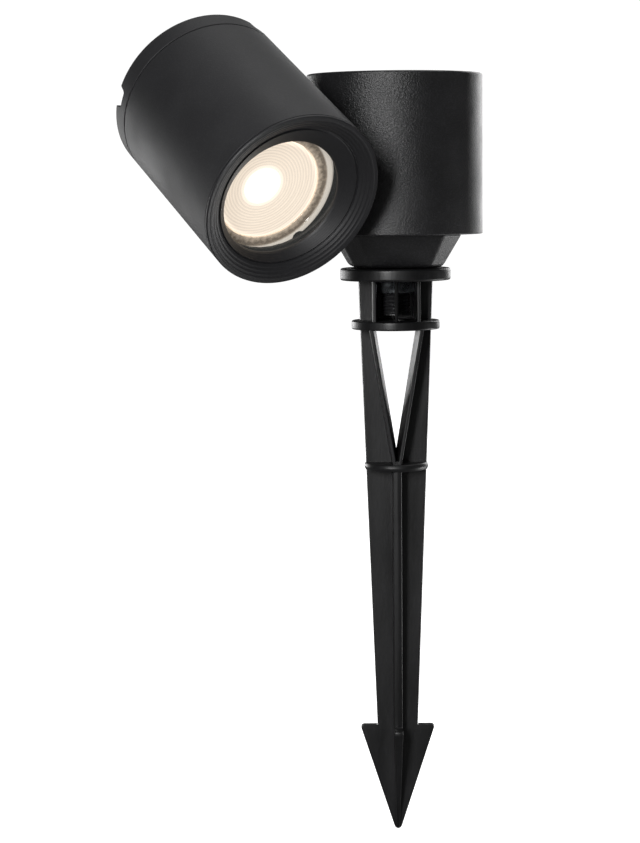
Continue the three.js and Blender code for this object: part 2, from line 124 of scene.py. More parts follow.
# A stack of equal rings of points, joined one to the next and capped at both ends.
def lofted(rings):
    layers, count = rings.shape[:2]
    faces = gridFaces(layers, count, False, True)
    faces.append(list(range(count)))
    faces.append(list(range(count * layers - 1, count * (layers - 1) - 1, -1)))
    return rings.reshape(-1, 3), faces


# An outline carried up from low to high, drawn in by a quarter circle at both rims.
def prism(outline, low, high, edge=0.3, steps=3):
    outline = np.array(outline, float)
    along = np.roll(outline, -1, 0) - np.roll(outline, 1, 0)
    along /= np.linalg.norm(along, axis=1)[:, None]
    outward = np.stack([along[:, 1], -along[:, 0]], -1)
    turn = np.linspace(0, pi / 2, steps + 1)
    inset = edge * (1 - np.sin(turn))
    rise = edge * (1 - np.cos(turn))
    insets = np.concatenate([inset, inset[::-1]])
    heights = np.concatenate([low + rise, high - rise[::-1]])
    flat = outline[None, :, :] - outward[None, :, :] * insets[:, None, None]
    tall = np.repeat(heights[:, None, None], len(outline), 1)
    return lofted(np.concatenate([flat, tall], -1))


# Outline of a rectangle about (x, y), with its corners rounded.
def rectangle(sizeX, sizeY, x=0, y=0, corner=0.5):
    west, east = x - sizeX / 2, x + sizeX / 2
    south, north = y - sizeY / 2, y + sizeY / 2
    return softened([(west, south), (east, south), (east, north), (west, north)], corner)


# A bar along Z: at each height a rectangle with round corners, its long ends drawn out to a
# faint ridge, as where the two halves of a mould meet.
def bar(heights, halfLong, halfThin, centre=0.0, corner=0.45, ridge=0.2, alongY=False):
    heights = np.array(heights, float)
    halfLong, halfThin, centre = [np.broadcast_to(np.array(v, float), heights.shape)
                                  for v in (halfLong, halfThin, centre)]
    turn = np.linspace(0, pi / 2, 5)
    corner = np.minimum(corner, 0.9 * np.minimum(halfLong, halfThin))[:, None]
    arcX = (halfLong[:, None] - corner) + corner * np.cos(turn)
    arcY = (halfThin[:, None] - corner) + corner * np.sin(turn)
    tipX = (halfLong + ridge)[:, None]
    zero = np.zeros_like(tipX)
    x = np.concatenate([tipX, arcX, -arcX[:, ::-1], -tipX, -arcX, arcX[:, ::-1]], 1)
    y = np.concatenate([zero, arcY, arcY[:, ::-1], zero, -arcY, -arcY[:, ::-1]], 1)
    x = x + centre[:, None]
    if alongY:
        x, y = -y, x
    z = np.repeat(heights[:, None], x.shape[1], 1)
    return lofted(np.stack([x, y, z], -1))


# A disc or cylinder standing on its axis, its rims rounded by a quadratic curve.
def disc(radius, low, high, sides=72, edge=0.0, steps=4):
    profile = [(0, low), (radius, low), (radius, high), (0, high)]
    return spun(softened(profile, [0, edge, edge, 0], False, steps), sides, False)


# A ring between two radii, with the four corners of its section rounded.
def hoop(inner, outer, low, high, edge, sides=144):
    return spun(softened([(inner, low), (outer, low), (outer, high), (inner, high)], edge), sides)


def polar(radius, degrees):
    return radius * np.cos(radians(degrees)), radius * np.sin(radians(degrees))


def shifted(surface, x=0.0, y=0.0, z=0.0):
    return surface[0] + np.array([x, y, z]), surface[1]


# A solid drawn along the pivot axis, moved into the head's own place.
def fromPivot(surface, reach):
    points, faces = surface
    points = np.stack([points[:, 2] - reach, points[:, 1], -points[:, 0]], -1)
    return points, faces


# ---- meshes ----

# A mesh object from a surface drawn in a place, with its seams welded and its faces outward.
def solid(name, surface, at=upright):
    points, faces = surface
    matrix = np.array(at)
    world = points * mm @ matrix[:3, :3].T + matrix[:3, 3]
    mesh = bpy.data.meshes.new(name)
    mesh.from_pydata(world.tolist(), [], faces)
    obj = bpy.data.objects.new(name, mesh)
    bpy.context.scene.collection.objects.link(obj)
    weld = obj.modifiers.new("weld", "WELD")
    weld.merge_threshold = 1e-7
    applied(obj)
    if signedVolume(obj.data) < 0:
        obj.data.flip_normals()
    return obj


# A sixth of the sum of a . (b x c) over the triangles, which is negative when the faces point inwards.
def signedVolume(mesh):
    mesh.calc_loop_triangles()
    corners = np.zeros(len(mesh.loop_triangles) * 3, np.int32)
    mesh.loop_triangles.foreach_get("vertices", corners)
    points = np.zeros(len(mesh.vertices) * 3)
    mesh.vertices.foreach_get("co", points)
    a, b, c = points.reshape(-1, 3)[corners.reshape(-1, 3)].transpose(1, 0, 2)
    return np.einsum("ij,ij->i", a, np.cross(b, c)).sum() / 6


# Turns the object's modifiers into its mesh.
def applied(obj):
    graph = bpy.context.evaluated_depsgraph_get()
    mesh = bpy.data.meshes.new_from_object(obj.evaluated_get(graph))
    old = obj.data
    obj.modifiers.clear()
    obj.data = mesh
    bpy.data.meshes.remove(old)
    mesh.name = obj.name


# Adds solids to an object or cuts them out of it, one after the other.
def combined(obj, tools, operation):
    for tool in tools:
        step = obj.modifiers.new("combine", "BOOLEAN")
        step.operation = operation
        step.solver = "MANIFOLD"
        step.object = tool
        applied(obj)
    for tool in tools:
        bpy.data.objects.remove(tool)
    return obj


def joined(name, surfaces, at=upright):
    first = solid(name, surfaces[0], at)
    return combined(first, [solid("part", surface, at) for surface in surfaces[1:]], "UNION")


def cut(obj, surfaces, at=upright):
    return combined(obj, [solid("tool", surface, at) for surface in surfaces], "DIFFERENCE")


# Shades a finished piece, gives it its material and says what it stands for.
def finished(obj, material, body, nodes, angle=32):
    obj.data.materials.clear()
    obj.data.materials.append(material)
    mesh = obj.data
    mesh.polygons.foreach_set("use_smooth", np.ones(len(mesh.polygons), bool))
    mesh.set_sharp_from_angle(angle=radians(angle))
    weighted = obj.modifiers.new("even shading", "WEIGHTED_NORMAL")
    weighted.keep_sharp = True
    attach(obj, body)
    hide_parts(*nodes)
    return obj


# ---- materials ----

# sRGB hex to linear.
def toLinear(hexColour, alpha=1.0):
    value = np.array([int(hexColour[i:i + 2], 16) / 255 for i in (1, 3, 5)])
    linear = np.where(value <= 0.04045, value / 12.92, ((value + 0.055) / 1.055) ** 2.4)
    return (*linear.tolist(), alpha)


# Adds a node: settings are its sockets' values or its own properties, links its linked sockets.
def addNode(tree, kind, settings=None, links=None):
    node = tree.nodes.new("ShaderNode" + kind)
    for key, value in (settings or {}).items():
        if isinstance(key, int) or key in node.inputs:
            node.inputs[key].default_value = value
        else:
            setattr(node, key, value)
    for key, output in (links or {}).items():
        tree.links.new(output, node.inputs[key])
    return node


def newMaterial(name):
    material = bpy.data.materials.new(name)
    material.use_nodes = True
    tree = material.node_tree
    tree.nodes.clear()
    return material, tree


# What most finishes share: a colour that strays a little towards another in broad clouds and in
# fine grain, a roughness that strays with it, and a bump from the grain. In a look, grain, clouds
# and depth are in millimetres: the width of a grain and of a cloud, and the height of the bump.
def surfaceMaterial(name, look):
    material, tree = newMaterial(name)
    place3d = addNode(tree, "TexCoord").outputs["Object"]
    if "stretch" in look:
        place3d = addNode(tree, "Mapping", {"Scale": look["stretch"]}, {"Vector": place3d}).outputs[0]
    grain = addNode(tree, "TexNoise", {"Scale": 1 / (look["grain"] * mm), "Detail": 3.0, "Roughness": 0.6},
                    {"Vector": place3d}).outputs["Fac"]
    clouds = addNode(tree, "TexNoise", {"Scale": 1 / (look["clouds"] * mm), "Detail": 2.0},
                     {"Vector": place3d}).outputs["Fac"]
    fleck = addNode(tree, "MapRange", {"From Min": 0.48, "From Max": 0.78, "To Max": look["fleck"]},
                    {"Value": grain}).outputs[0]
    cloud = addNode(tree, "MapRange", {"From Min": 0.35, "From Max": 0.7, "To Max": look["stray"]},
                    {"Value": clouds}).outputs[0]
    both = addNode(tree, "Math", {"operation": "ADD", "use_clamp": True}, {0: fleck, 1: cloud}).outputs[0]
    dark, light = toLinear(look["colour"]), toLinear(look["light"])
    colour = addNode(tree, "Mix", {"data_type": "RGBA", 6: dark, 7: light}, {0: both}).outputs[2]
    smoothest, roughest = look["rough"] - look["roughStray"], look["rough"] + look["roughStray"]
    rough = addNode(tree, "MapRange", {"From Min": 0.3, "From Max": 0.7, "To Min": smoothest,
                                       "To Max": roughest}, {"Value": clouds}).outputs[0]
    bump = addNode(tree, "Bump", {"Strength": look["bump"], "Distance": look["depth"] * mm},
                   {"Height": grain}).outputs[0]
    shader = addNode(tree, "BsdfPrincipled", {"Metallic": look.get("metal", 0.0)},
                     {"Base Color": colour, "Roughness": rough, "Normal": bump})
    for socket, value in look.get("shader", {}).items():
        shader.inputs[socket].default_value = value
    addNode(tree, "OutputMaterial", None, {"Surface": shader.outputs[0]})
    return material


# Fine-texture polyester powder coat on die-cast aluminium, sprayed and stoved: a dull sheen broken up
# by a grain of about 0.3 mm, drawn here at 0.55 mm so that it shows.
charcoalCoat = surfaceMaterial("powder coat, charcoal fine texture", {
    "colour": "#1d1d1f", "light": "#2f2f31", "grain": 0.55, "clouds": 22, "fleck": 0.5, "stray": 0.25,
    "rough": 0.58, "roughStray": 0.05, "bump": 0.25, "depth": 0.12})
# The same coat in near-black, with a rougher sand grain that catches the light.
blackCoat = surfaceMaterial("powder coat, near-black sand texture", {
    "colour": "#131314", "light": "#3a3a3e", "grain": 0.55, "clouds": 18, "fleck": 0.4, "stray": 0.06,
    "rough": 0.4, "roughStray": 0.06, "bump": 0.8, "depth": 0.25})
# Glass-filled polyamide, injection moulded in a spark-eroded tool: near black, satin, with long
# flow marks down the fins.
polyamide = surfaceMaterial("glass-filled polyamide, moulded", {
    "colour": "#0b0b0c", "light": "#1c1c1e", "grain": 0.8, "clouds": 9, "fleck": 0.55, "stray": 0.35,
    "rough": 0.42, "roughStray": 0.09, "bump": 0.3, "depth": 0.12, "stretch": (1.0, 1.0, 0.22),
    "shader": {"Specular IOR Level": 0.38}})
# Polypropylene, moulded: softer and duller than the spike's plastic.
innerPlastic = surfaceMaterial("polypropylene, moulded", {
    "colour": "#232324", "light": "#38383a", "grain": 0.6, "clouds": 12, "fleck": 0.4, "stray": 0.3,
    "rough": 0.55, "roughStray": 0.06, "bump": 0.15, "depth": 0.08})
# Moulded nitrile rubber: dull, bloomed slightly grey.
rubber = surfaceMaterial("nitrile rubber, moulded", {
    "colour": "#0f0f10", "light": "#2a2a2a", "grain": 0.4, "clouds": 5, "fleck": 0.35, "stray": 0.5,
    "rough": 0.82, "roughStray": 0.08, "bump": 0.25, "depth": 0.08})
# Black silicone, moulded: dull, with a dusty bloom.
silicone = surfaceMaterial("silicone rubber", {
    "colour": "#1c1b1a", "light": "#36332f", "grain": 0.5, "clouds": 6, "fleck": 0.3, "stray": 0.5,
    "rough": 0.6, "roughStray": 0.08, "bump": 0.12, "depth": 0.05})
# Bright zinc plate on steel: bluish, with a fine spangle.
zincPlate = surfaceMaterial("zinc-plated steel", {
    "colour": "#8f9499", "light": "#cfd4d8", "grain": 0.9, "clouds": 4, "fleck": 0.6, "stray": 0.6,
    "rough": 0.34, "roughStray": 0.1, "bump": 0.12, "depth": 0.04, "metal": 1.0})
# Turned brass, a little dulled by handling.
brass = surfaceMaterial("brass, turned", {
    "colour": "#8d6a2c", "light": "#c9a45c", "grain": 0.7, "clouds": 3, "fleck": 0.4, "stray": 0.6,
    "rough": 0.34, "roughStray": 0.08, "bump": 0.1, "depth": 0.03, "metal": 1.0})
# Steatite ceramic, pressed and fired: white body with a chalky face.
ceramic = surfaceMaterial("steatite ceramic", {
    "colour": "#d8d3c7", "light": "#f1eee6", "grain": 0.5, "clouds": 7, "fleck": 0.5, "stray": 0.5,
    "rough": 0.55, "roughStray": 0.08, "bump": 0.2, "depth": 0.06})
# White polycarbonate, moulded: satin.
whitePlastic = surfaceMaterial("white polycarbonate, moulded", {
    "colour": "#d9d5cc", "light": "#efece5", "grain": 0.6, "clouds": 10, "fleck": 0.3, "stray": 0.5,
    "rough": 0.4, "roughStray": 0.06, "bump": 0.1, "depth": 0.05})


# Offset from an axis and distance from it, both in millimetres: the object coordinates are brought
# into a place, its centre moved if need be, and flattened along its Z.
def aroundAxis(tree, at, centre=(0, 0)):
    spot = addNode(tree, "TexCoord").outputs["Object"]
    spin = at.to_3x3().inverted()
    shift = -(spin @ at.translation) - Vector((*centre, 0)) * mm
    local = addNode(tree, "Mapping", {"Location": shift, "Rotation": spin.to_euler()},
                    {"Vector": spot}).outputs[0]
    perMm = (1 / mm, 1 / mm, 0)
    offset = addNode(tree, "VectorMath", {"operation": "MULTIPLY", 1: perMm}, {0: local}).outputs[0]
    return offset, addNode(tree, "VectorMath", {"operation": "LENGTH"}, {0: offset}).outputs["Value"]


# Black coated aluminium, turned on a lathe before coating: satin, with the tool's rings still showing.
# The rings follow the distance from the head's axis.
def turnedBlackMaterial(look):
    material, tree = newMaterial("turned aluminium, satin black")
    radius = aroundAxis(tree, headPlace)[1]
    perTurn = 2 * pi / look["toolMark"]
    phase = addNode(tree, "Math", {"operation": "MULTIPLY", 1: perTurn}, {0: radius}).outputs[0]
    rings = addNode(tree, "Math", {"operation": "SINE"}, {0: phase}).outputs[0]
    spot = addNode(tree, "TexCoord").outputs["Object"]
    grain = addNode(tree, "TexNoise", {"Scale": 1 / (look["grain"] * mm), "Detail": 3.0},
                    {"Vector": spot}).outputs["Fac"]
    height = addNode(tree, "Math", {"operation": "MULTIPLY_ADD", 1: look["ringShare"]},
                     {0: rings, 2: grain}).outputs[0]
    dark, light = toLinear(look["colour"]), toLinear(look["light"])
    colour = addNode(tree, "Mix", {"data_type": "RGBA", 6: dark, 7: light}, {0: grain}).outputs[2]
    rough = addNode(tree, "MapRange", {"To Min": look["smoothest"], "To Max": look["roughest"]},
                    {"Value": grain}).outputs[0]
    bump = addNode(tree, "Bump", {"Strength": look["bump"], "Distance": look["depth"] * mm},
                   {"Height": height}).outputs[0]
    shader = addNode(tree, "BsdfPrincipled", None, {"Base Color": colour, "Roughness": rough, "Normal": bump})
    addNode(tree, "OutputMaterial", None, {"Surface": shader.outputs[0]})
    return material


# Toughened soda-lime glass, float made: clear, almost smooth, with faint smears.
def glassMaterial(look):
    material, tree = newMaterial("toughened clear glass")
    spot = addNode(tree, "TexCoord").outputs["Object"]
    smear = addNode(tree, "TexNoise", {"Scale": 1 / (look["smear"] * mm), "Detail": 4.0},
                    {"Vector": spot}).outputs["Fac"]
    rough = addNode(tree, "MapRange", {"To Min": look["smoothest"], "To Max": look["roughest"]},
                    {"Value": smear}).outputs[0]
    shader = addNode(tree, "BsdfPrincipled", {"Base Color": toLinear(look["tint"]), "IOR": look["ior"],
                                              "Alpha": look["alpha"]}, {"Roughness": rough})
    addNode(tree, "OutputMaterial", None, {"Surface": shader.outputs[0]})
    return material


# The lit front of the lamp: a polycarbonate lens over warm white chips, burnt out in one spot, cream with
# fine rings round it, and bright again along its edge.
def litLensMaterial(look):
    material, tree = newMaterial("lit polycarbonate lens")
    radius = aroundAxis(tree, lampPlace)[1]
    fromHot = aroundAxis(tree, lampPlace, look["hotAt"])[1]
    outward = addNode(tree, "MapRange", {"From Min": look["hotRadius"], "From Max": look["creamFrom"],
                                         "interpolation_type": "SMOOTHSTEP"}, {"Value": fromHot}).outputs[0]
    perTurn = 2 * pi / look["ring"]
    phase = addNode(tree, "Math", {"operation": "MULTIPLY", 1: perTurn}, {0: fromHot}).outputs[0]
    wave = addNode(tree, "Math", {"operation": "SINE"}, {0: phase}).outputs[0]
    glow = addNode(tree, "Mix", {"data_type": "RGBA", 6: toLinear(look["hot"]), 7: toLinear(look["cream"])},
                   {0: outward}).outputs[2]
    strength = addNode(tree, "MapRange", {"To Min": look["hotStrength"], "To Max": look["creamStrength"]},
                       {"Value": outward}).outputs[0]
    strength = addNode(tree, "Math", {"operation": "MULTIPLY_ADD", 1: look["ringStrength"]},
                       {0: wave, 2: strength}).outputs[0]
    edge = addNode(tree, "MapRange", {"From Min": look["edgeFrom"], "From Max": look["edgeTo"],
                                      "To Max": look["edgeStrength"], "interpolation_type": "SMOOTHSTEP"},
                   {"Value": radius}).outputs[0]
    strength = addNode(tree, "Math", {"operation": "ADD"}, {0: strength, 1: edge}).outputs[0]
    unlit = toLinear(look["unlit"])
    shader = addNode(tree, "BsdfPrincipled", {"Base Color": unlit, "Roughness": look["rough"]},
                     {"Emission Color": glow, "Emission Strength": strength})
    addNode(tree, "OutputMaterial", None, {"Surface": shader.outputs[0]})
    return material


# The clear moulded rim round the lens: it looks beige where the lamp's body shows through it, with
# faint radial streaks, and turns darker outward, which is painted shade. It gives off its colour as a painted
# glow of the lamp's light, and its outer edge gathers the light into a thin white ring, a painted highlight.
def clearRimMaterial(look):
    material, tree = newMaterial("clear moulded polycarbonate")
    offset, radius = aroundAxis(tree, lampPlace)
    parted = addNode(tree, "SeparateXYZ", None, {0: offset}).outputs
    angle = addNode(tree, "Math", {"operation": "ARCTAN2"}, {0: parted[1], 1: parted[0]}).outputs[0]
    outward = addNode(tree, "Math", {"operation": "MULTIPLY", 1: look["streakDrift"]}, {0: radius}).outputs[0]
    streakPlace = addNode(tree, "CombineXYZ", None, {0: angle, 1: outward}).outputs[0]
    streaks = addNode(tree, "TexNoise", {"Scale": look["streaks"], "Detail": 3.0},
                      {"Vector": streakPlace}).outputs["Fac"]
    streaky = addNode(tree, "MapRange", {"From Min": 0.3, "From Max": 0.7, "To Min": -look["streakStray"],
                                         "To Max": look["streakStray"]}, {"Value": streaks}).outputs[0]
    # Painted shade: beige near the lens, turning to the darker shade colour further out.
    shaded = addNode(tree, "MapRange", {"From Min": look["shadeFrom"], "From Max": look["shadeTo"]},
                     {"Value": radius}).outputs[0]
    shaded = addNode(tree, "Math", {"operation": "ADD", "use_clamp": True},
                     {0: shaded, 1: streaky}).outputs[0]
    beige, shade, ringWhite = [toLinear(look[name]) for name in ("beige", "shade", "ringWhite")]
    body = addNode(tree, "Mix", {"data_type": "RGBA", 6: beige, 7: shade}, {0: shaded}).outputs[2]
    # Painted highlight: a thin white ring near the rim's outer edge.
    bright = addNode(tree, "MapRange", {"From Min": look["ringFrom"], "From Max": look["ringTo"],
                                        "interpolation_type": "SMOOTHSTEP"}, {"Value": radius}).outputs[0]
    glow = addNode(tree, "Mix", {"data_type": "RGBA", 7: ringWhite}, {0: bright, 6: body}).outputs[2]
    # The rim gives off its own colour as light: a painted glow of the lamp.
    shader = addNode(tree, "BsdfPrincipled", {"Roughness": look["rough"], "IOR": look["ior"],
                                              "Emission Strength": look["strength"]},
                     {"Base Color": glow, "Emission Color": glow})
    addNode(tree, "OutputMaterial", None, {"Surface": shader.outputs[0]})
    return material


turnedBlack = turnedBlackMaterial({"colour": "#101012", "light": "#1f1f22", "toolMark": 0.5, "grain": 0.5,
                                   "ringShare": 0.35, "smoothest": 0.44, "roughest": 0.58, "bump": 0.35,
                                   "depth": 0.05})
glass = glassMaterial({"tint": "#cfd2d0", "ior": 1.52, "alpha": 0.05, "smear": 14, "smoothest": 0.02,
                       "roughest": 0.09})
# hotAt, the radii and the ring's width are in millimetres, here and for the rim.
litLens = litLensMaterial({"hot": "#fffdf8", "cream": "#ffeeda", "unlit": "#8f8a80", "hotAt": (2.9, -1.5),
                           "hotRadius": 2.5, "creamFrom": 8.5, "ring": 1.0, "hotStrength": 2.2,
                           "creamStrength": 0.85, "ringStrength": 0.09, "edgeFrom": 16.0, "edgeTo": 17.2,
                           "edgeStrength": 0.3, "rough": 0.25})
# In the rim, shade is painted shade, ringWhite is a painted highlight and strength is a painted glow.
clearRim = clearRimMaterial({"shade": "#6f6355", "beige": "#c4b39f", "shadeFrom": 17.8, "shadeTo": 19.8,
                             "streaks": 14.0, "streakStray": 0.4, "streakDrift": 0.05, "ringFrom": 20.6,
                             "ringTo": 21.3, "ringWhite": "#ded6ca", "strength": 0.5, "rough": 0.12,
                             "ior": 1.58})
print("materials ready")


# ---- ground spike: one moulding, root of everything ----

stake = {
    "taper": [(-155.9, 6.9), (-63.3, 10.35), (-16.8, 12.05), (0.5, 12.65)],   # height, fins' half-width
    "finHalf": 1.5,
    "finTop": -58.5,         # top of the fins beside the window, and of those that face it
    "crossTop": -61.8,
    "plateHalf": 1.45,
    "edge": 0.45,
    "windowTop": 6.85,       # half-width of the V window at the middle of the stake
    "windowApex": -58.2,
    "wing": (-16.0, -59.4),  # the flat wings beside the window, from and to
    "wingGap": 0.6,
    "ribs": (-16.2, -65.0),  # the ribs that frame the window, from and to, and their reach there
    "ribReach": (12.1, 10.4),
    "ribWide": 1.2,
    "ribDraft": 1.1,         # how far a rib leans back from the window by its front edge
    "barb": -155.9,
    "barbReach": 12.6,
    "collar": (-16.8, -13.8, 15.2),
    "bead": (-65.6, -63.0, 11.2),
    "socketHigh": 0.8,       # the ribs and walls of the socket under the flange
    "socketLow": -15.5,
    "socketInner": 6.25,
    "socketReach": 12.2,
    "socketDraft": 0.7,
    "socketSide": (10.15, 2.05, 0.6),   # place, half-length and half-thickness of the side walls
    "socketBack": (15.6, 1.5, 8.85),    # width, thickness and place of the wall behind the nut
}


# Half-width of the fins at a height: straight lines between the rows of the taper.
def stakeHalf(z):
    heights, halves = zip(*stake["taper"])
    return np.interp(z, heights, halves)


# Half-width of the V window at a height: nothing at its apex, widening evenly up to the collar.
def windowHalf(z):
    return (z - stake["windowApex"]) * stake["windowTop"] / (stake["collar"][0] - stake["windowApex"])


# Blade outline from a height down to the tip, with the barb as a step out and a straight taper.
def blade(top, alongY):
    tip = span("ground_spike")[0]
    barb, reach = stake["barb"], stake["barbReach"]
    root = stakeHalf(barb)
    bend = stake["taper"][1][0]
    rows = [(top, stakeHalf(top)), (bend, stakeHalf(bend)), (barb + 0.4, root), (barb, root + 0.3),
            (barb, reach - 0.5), (barb - 0.15, reach - 0.15), (barb - 0.5, reach), (barb - 1.3, reach),
            (barb - 1.8, reach - 0.15), (tip + 1.0, 1.15), (tip + 0.3, 0.8), (tip, 0.35)]
    heights, halves = np.array(rows).T
    thin = np.interp(heights, [tip, tip + 6, tip + 30], [0.45, 1.2, stake["finHalf"]])
    return bar(heights, halves, thin, corner=stake["edge"], alongY=alongY)


# A rib beside the V window: thickest at the middle of the stake, leaning back to a thin front edge.
def windowRib(side, high, low, innerHigh, innerLow, depthHigh, depthLow, draft):
    rings = []
    for z, inner, depth in ((high, innerHigh, depthHigh), (low, innerLow, depthLow)):
        wide = stake["ribWide"]
        corners = [(inner, 0), (inner + draft, -depth), (inner + draft + wide, -depth),
                   (inner + draft + wide + 0.3, 0), (inner + draft + wide, depth), (inner + draft, depth)]
        ring = softened(corners, [0, 0.35, 0.35, 0, 0.35, 0.35])
        rings.append(np.column_stack([side * ring[:, 0], ring[:, 1], np.full(len(ring), z)]))
    return lofted(np.array(rings))


# The union of a flange, a collar and a bead, two crossed blades, and on each side of the window and of
# the socket a flat wing, a rib and a wall.
def groundSpike():
    high, flangeRadius = span("ground_spike")[1:]
    collarLow, collarHigh, collarRadius = stake["collar"]
    beadLow, beadHigh, beadRadius = stake["bead"]
    beadSide = [(0, beadLow), (beadRadius - 0.5, beadLow), (beadRadius, (beadLow + beadHigh) / 2),
                (beadRadius - 0.5, beadHigh), (0, beadHigh)]
    wide, thick, back = stake["socketBack"]
    socketHigh, socketLow, socketInner = stake["socketHigh"], stake["socketLow"], stake["socketInner"]
    socketReach = stake["socketReach"]
    sidePlace, sideHalf, sideThin = stake["socketSide"]
    plateHalf = stake["plateHalf"]
    wingZ = np.array(stake["wing"])
    plateZ = np.array([socketHigh, socketLow])
    ribHigh, ribLow = stake["ribs"]
    parts = [hoop(5.3, flangeRadius, 0, high, [0, 0.9, 0.9, 0.3]),
             hoop(5.5, collarRadius, collarLow, collarHigh, [0, 0.6, 0.6, 0.3]),
             spun(softened(beadSide, [0, 0.5, 0.5, 0.5, 0], closed=False), closed=False),
             blade(stake["finTop"], False),
             blade(stake["crossTop"], True),
             prism(rectangle(wide, thick, 0, back, 0.3), socketLow + 0.3, socketHigh, 0.1)]
    for side in (-1, 1):
        innerEdge, outerEdge = np.maximum(windowHalf(wingZ), 0) + stake["wingGap"], stakeHalf(wingZ)
        parts.append(bar(wingZ, (outerEdge - innerEdge) / 2, plateHalf, side * (outerEdge + innerEdge) / 2))
        parts.append(windowRib(side, ribHigh, ribLow, windowHalf(ribHigh), windowHalf(ribLow),
                               *stake["ribReach"], stake["ribDraft"]))
        innerEdge, outerEdge = socketInner + 0.65, stakeHalf(plateZ)
        parts.append(bar(plateZ, (outerEdge - innerEdge) / 2, plateHalf, side * (outerEdge + innerEdge) / 2))
        parts.append(windowRib(side, socketHigh, socketLow, socketInner, socketInner, socketReach, socketReach,
                               stake["socketDraft"]))
        parts.append(bar(plateZ, sideHalf, sideThin, side * sidePlace, corner=0.3, alongY=True))
    return joined("ground_spike_moulding", parts)


finished(groundSpike(), polyamide, "spike", ["ground_spike"])


# ---- nuts and threads ----

# Six flats, with the corners turned off in a cone at both faces.
def hexNut(acrossFlats, bore, low, high):
    middle, half = (low + high) / 2, (high - low) / 2
    chamfer = 0.28 * half

    def shape(angle, radius, height):
        flats = acrossFlats / 2 / np.cos((angle + pi / 6) % (pi / 3) - pi / 6)
        cone = acrossFlats / 2 * 1.155 - 1.6 * np.maximum(0, np.abs(height - middle) - (half - chamfer))
        return np.where(radius > bore + 0.6, np.minimum(flats, cone), radius)

    faceRadius = acrossFlats / 2 * 0.96
    profile = [(bore, low + 0.3), (bore + 0.35, low), (faceRadius, low)]
    profile += [(acrossFlats, z) for z in np.linspace(low, high, 13)]
    profile += [(faceRadius, high), (bore + 0.35, high), (bore, high - 0.3)]
    return spun(profile, 144, True, shape)


# A round rod whose radius dips by the thread's depth in a triangle wave that climbs one pitch a turn.
def threadedRod(radius, bore, low, high, pitch, depth):
    def shape(angle, radii, height):
        turn = (height / pitch - angle / (2 * pi)) % 1
        fade = np.clip((height - low) / pitch, 0, 1) * np.clip((high - height) / pitch, 0, 1)
        dip = depth * np.abs(2 * turn - 1) * fade + depth * (1 - fade) * 0.5
        return np.where(radii > bore + 0.3, radii - dip, radii)

    rows = int((high - low) / pitch * 8)
    outside = [(radius, z) for z in np.linspace(low, high, rows)]
    return spun([(bore, low)] + outside + [(bore, high)], 96, True, shape)


nutLow, nutHigh, _ = span("stem_nut")
stemNut = solid("stem_nut_hex", hexNut(12.6, 5.3, nutLow, nutHigh))
finished(stemNut, zincPlate, "spike", ["stem_nut"])
print("spike ready")


# ---- adapter: an inverted pyramid with cut corners, a threaded stem and a nipple ----

adapter = {"side": 42.2, "corner": 6.7, "bottomScale": 0.708, "edge": 1.1, "stemRadius": 5.0, "bore": 3.6,
           "pitch": 1.25, "threadDepth": 0.5, "nippleRadius": 7.5, "nipplePitch": 1.5, "nippleBore": 6.0}


# An octagon with round corners, scaled up in a straight line from bottom to top, and drawn in at both
# ends by a few tenths for the rounded rims. The stem, the nipple and the bores stand on its axis.
def stakeAdapter():
    low, high, _ = span("stake_adapter")
    pyramidHigh = span("junction_housing")[0]
    pyramidLow = span("ground_spike")[1] + 0.3
    half = adapter["side"] / 2
    inner = half - adapter["corner"]
    octagon = [(half, -inner), (half, inner), (inner, half), (-inner, half),
               (-half, inner), (-half, -inner), (-inner, -half), (inner, -half)]
    outline = softened(octagon, adapter["edge"])
    share = np.array([0, 0.12, 0.4, 0.9, 1.5, 10.3, 10.7, 10.95, 11.1]) / 11.1
    lift = share * (pyramidHigh - pyramidLow)
    draw = np.array([1.3, 0.8, 0.35, 0.1, 0, 0, 0.06, 0.2, 0.45])
    scale = adapter["bottomScale"] + (1 - adapter["bottomScale"]) * share - draw / half
    rings = outline[None, :, :] * scale[:, None, None]
    tall = np.repeat((pyramidLow + lift)[:, None, None], len(outline), 1)
    pyramid = lofted(np.concatenate([rings, tall], -1))
    bore, wideBore = adapter["bore"], adapter["nippleBore"]
    pitch, nipplePitch, depth = adapter["pitch"], adapter["nipplePitch"], adapter["threadDepth"]
    stem = threadedRod(adapter["stemRadius"], bore, low, pyramidLow + 1.5, pitch, depth)
    nipple = threadedRod(adapter["nippleRadius"], wideBore, pyramidHigh - 1.5, high, nipplePitch, depth)
    body = joined("stake_adapter_casting", [pyramid, stem, nipple], turned)
    return cut(body, [disc(bore, low - 1, high + 1, 64), disc(wideBore, high - 5, high + 1, 64)], turned)


finished(stakeAdapter(), blackCoat, "housing", ["stake_adapter"])


# ---- junction housing ----

housing = {"wall": 2.2, "topThick": 2.6, "rim": 0.9, "ledgeRadius": 25.4, "screwRadius": 22.6,
           "screwAngles": (30, 150, 270), "bossRadius": 3.6, "saddle": 1.4, "padFace": 23.8}
pivot = {"hole": 5.3, "padRadius": 10.5, "seatRadius": 8.8}    # the same in the housing and the head
pilotRadius = 1.4


